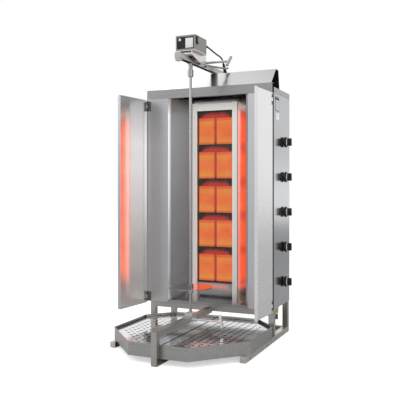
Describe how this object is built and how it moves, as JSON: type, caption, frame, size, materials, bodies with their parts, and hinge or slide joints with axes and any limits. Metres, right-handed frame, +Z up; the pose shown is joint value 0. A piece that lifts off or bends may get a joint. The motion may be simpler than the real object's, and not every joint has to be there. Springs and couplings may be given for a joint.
{
  "type": "doner kebab grill",
  "caption": "Upright gas grill with a motor-driven vertical spit, stacked radiant burners, hinged side wings, an octagonal drip pan and a sliding motor carriage.",
  "frame": {"origin": "on the floor below the spit axis, at the underside of the centre floor rail", "axes": "+Z up along the spit, +Y from the spit towards the burners, +X towards the control knobs"},
  "size_m": [0.7018, 0.8226, 1.3437],
  "materials": {
    "floor_rails": "satin stainless square tube",
    "legs": "satin stainless square tube",
    "front_crossbar": "satin stainless tube",
    "front_post": "satin stainless tube",
    "spit_beam": "satin stainless tube",
    "drip_pan": "polished stainless sheet",
    "grate_left": "polished perforated stainless sheet",
    "grate_right": "polished perforated stainless sheet",
    "side_panel_left": "polished stainless sheet",
    "side_panel_right": "polished stainless sheet",
    "back_panel": "stainless sheet",
    "cabinet_floor": "stainless sheet",
    "top_cover": "stainless sheet",
    "lintel": "polished stainless sheet",
    "hood": "polished stainless sheet",
    "reflector_left": "polished stainless sheet",
    "reflector_right": "polished stainless sheet",
    "burner_uprights": "polished stainless sheet",
    "burner_plate": "heat-tinted stainless sheet",
    "burner_housings": "dark cast housing",
    "burner_feeds": "copper pipe with brass injector",
    "gas_taps": "machined brass",
    "gas_manifold": "galvanised steel pipe",
    "gas_inlet": "machined brass",
    "rear_hook": "bent steel strip",
    "arm_post": "satin stainless tube",
    "top_arm": "satin stainless channel",
    "arm_end_stop": "black moulded plastic",
    "frame_hinges": "stainless hinge leaves and pins",
    "socket": "black moulded plastic",
    "plug": "black moulded plastic",
    "cable": "black rubber sheath",
    "motor_saddle": "stainless plate",
    "motor_cover": "pale sheet metal cover",
    "motor_front_plate": "plain recessed plate",
    "gearmotor": "die-cast gear motor",
    "switch_body": "black moulded plastic",
    "rocker_switch": "black moulded plastic",
    "strain_relief": "black moulded plastic",
    "upper_clamp_screw": "bright plated steel",
    "drive_sleeve": "turned stainless",
    "spit_rod": "polished stainless rod",
    "meat_disc": "polished stainless disc",
    "disc_clip": "dark clamp collar",
    "lower_carriage": "machined stainless block",
    "lower_clamp_screw": "bright plated steel",
    "lock_lever": "bright steel rod",
    "wing_left": "polished stainless sheet",
    "wing_right": "polished stainless sheet",
    "knob_black": "black moulded plastic",
    "spindle_steel": "turned steel",
    "burner_ceramic": "glowing perforated ceramic"
  },
  "bodies": {
    "frame": {"floor_rails": "floor_rails", "legs": "legs", "front_crossbar": "front_crossbar", "front_post": "front_post", "spit_beam": "spit_beam", "drip_pan": "drip_pan", "grate_left": "grate_left", "grate_right": "grate_right", "side_panel_left": "side_panel_left", "side_panel_right": "side_panel_right", "back_panel": "back_panel", "cabinet_floor": "cabinet_floor", "top_cover": "top_cover", "lintel": "lintel", "hood": "hood", "reflector_left": "reflector_left", "reflector_right": "reflector_right", "burner_uprights": "burner_uprights", "burner_plate": "burner_plate", "burner_housings": "burner_housings", "burner_tiles": "burner_ceramic", "burner_feeds": "burner_feeds", "gas_taps": "gas_taps", "gas_manifold": "gas_manifold", "gas_inlet": "gas_inlet", "rear_hook": "rear_hook", "arm_post": "arm_post", "top_arm": "top_arm", "arm_end_stop": "arm_end_stop", "frame_hinges": "frame_hinges", "socket": "socket", "plug": "plug", "cable": "cable"},
    "motor_carriage": {"motor_saddle": "motor_saddle", "motor_cover": "motor_cover", "motor_front_plate": "motor_front_plate", "gearmotor": "gearmotor", "switch_body": "switch_body", "strain_relief": "strain_relief"},
    "rocker": {"rocker_switch": "rocker_switch"},
    "upper_clamp": {"upper_clamp_screw": "upper_clamp_screw"},
    "spit": {"drive_sleeve": "drive_sleeve", "spit_rod": "spit_rod", "meat_disc": "meat_disc", "disc_clip": "disc_clip"},
    "lower_carriage": {"lower_carriage": "lower_carriage"},
    "lower_clamp": {"lower_clamp_screw": "lower_clamp_screw"},
    "lock_lever": {"lock_lever": "lock_lever"},
    "wing_left": {"wing_left": "wing_left"},
    "wing_right": {"wing_right": "wing_right"},
    "tap_spindle_1": {"tap_spindle_1": "spindle_steel"},
    "knob_1": {"knob_1": "knob_black"},
    "tap_spindle_2": {"tap_spindle_2": "spindle_steel"},
    "knob_2": {"knob_2": "knob_black"},
    "tap_spindle_3": {"tap_spindle_3": "spindle_steel"},
    "knob_3": {"knob_3": "knob_black"},
    "tap_spindle_4": {"tap_spindle_4": "spindle_steel"},
    "knob_4": {"knob_4": "knob_black"},
    "tap_spindle_5": {"tap_spindle_5": "spindle_steel"},
    "knob_5": {"knob_5": "knob_black"}
  },
  "joints": [
    {"name": "motor_slide", "type": "slide", "parent": "frame", "child": "motor_carriage", "axis": [0, 1, 0], "range_m": [-0.008, 0.04], "deforming": ["cable"]},
    {"name": "lower_slide", "type": "slide", "parent": "frame", "child": "lower_carriage", "axis": [0, 1, 0], "range_m": [-0.008, 0.04]},
    {"name": "spit_spin", "type": "hinge", "parent": "motor_carriage", "child": "spit", "pos_m": [0, 0, 1.2], "axis": [0, 0, 1], "continuous": true},
    {"name": "upper_clamp_turn", "type": "hinge", "parent": "motor_carriage", "child": "upper_clamp", "pos_m": [0.04, 0.078, 1.2445], "axis": [1, 0, 0], "range_deg": [0, 270]},
    {"name": "lower_clamp_turn", "type": "hinge", "parent": "lower_carriage", "child": "lower_clamp", "pos_m": [0.025, 0, 0.1195], "axis": [1, 0, 0], "range_deg": [0, 270]},
    {"name": "lock_lever_swing", "type": "hinge", "parent": "frame", "child": "lock_lever", "pos_m": [0.02, 0.134, 1.245], "axis": [0, 0, 1], "range_deg": [-30, 0]},
    {"name": "power_rocker", "type": "hinge", "parent": "motor_carriage", "child": "rocker", "pos_m": [0.045, -0.037, 1.3217], "axis": [0, 1, 0], "range_deg": [0, 16]},
    {"name": "wing_left_swing", "type": "hinge", "parent": "frame", "child": "wing_left", "pos_m": [-0.314, 0.176, 0.6], "axis": [0, 0, 1], "range_deg": [-85, 90]},
    {"name": "wing_right_swing", "type": "hinge", "parent": "frame", "child": "wing_right", "pos_m": [0.314, 0.176, 0.6], "axis": [0, 0, 1], "range_deg": [-40, 95]},
    {"name": "knob_1_push", "type": "slide", "parent": "frame", "child": "tap_spindle_1", "axis": [-1, 0, 0], "range_m": [0, 0.0035], "stiffness_N_per_m": 800, "springref_m": -0.003},
    {"name": "knob_1_turn", "type": "hinge", "parent": "tap_spindle_1", "child": "knob_1", "pos_m": [0.33, 0.365, 0.9031], "axis": [1, 0, 0], "range_deg": [0, 180]},
    {"name": "knob_2_push", "type": "slide", "parent": "frame", "child": "tap_spindle_2", "axis": [-1, 0, 0], "range_m": [0, 0.0035], "stiffness_N_per_m": 800, "springref_m": -0.003},
    {"name": "knob_2_turn", "type": "hinge", "parent": "tap_spindle_2", "child": "knob_2", "pos_m": [0.33, 0.365, 0.7402], "axis": [1, 0, 0], "range_deg": [0, 180]},
    {"name": "knob_3_push", "type": "slide", "parent": "frame", "child": "tap_spindle_3", "axis": [-1, 0, 0], "range_m": [0, 0.0035], "stiffness_N_per_m": 800, "springref_m": -0.003},
    {"name": "knob_3_turn", "type": "hinge", "parent": "tap_spindle_3", "child": "knob_3", "pos_m": [0.33, 0.365, 0.5773], "axis": [1, 0, 0], "range_deg": [0, 180]},
    {"name": "knob_4_push", "type": "slide", "parent": "frame", "child": "tap_spindle_4", "axis": [-1, 0, 0], "range_m": [0, 0.0035], "stiffness_N_per_m": 800, "springref_m": -0.003},
    {"name": "knob_4_turn", "type": "hinge", "parent": "tap_spindle_4", "child": "knob_4", "pos_m": [0.33, 0.365, 0.4144], "axis": [1, 0, 0], "range_deg": [0, 180]},
    {"name": "knob_5_push", "type": "slide", "parent": "frame", "child": "tap_spindle_5", "axis": [-1, 0, 0], "range_m": [0, 0.0035], "stiffness_N_per_m": 800, "springref_m": -0.003},
    {"name": "knob_5_turn", "type": "hinge", "parent": "tap_spindle_5", "child": "knob_5", "pos_m": [0.33, 0.365, 0.2515], "axis": [1, 0, 0], "range_deg": [0, 180]}
  ],
  "couplings": [
    {"joint": "lower_slide", "follows": "motor_slide", "ratio": 1}
  ]
}
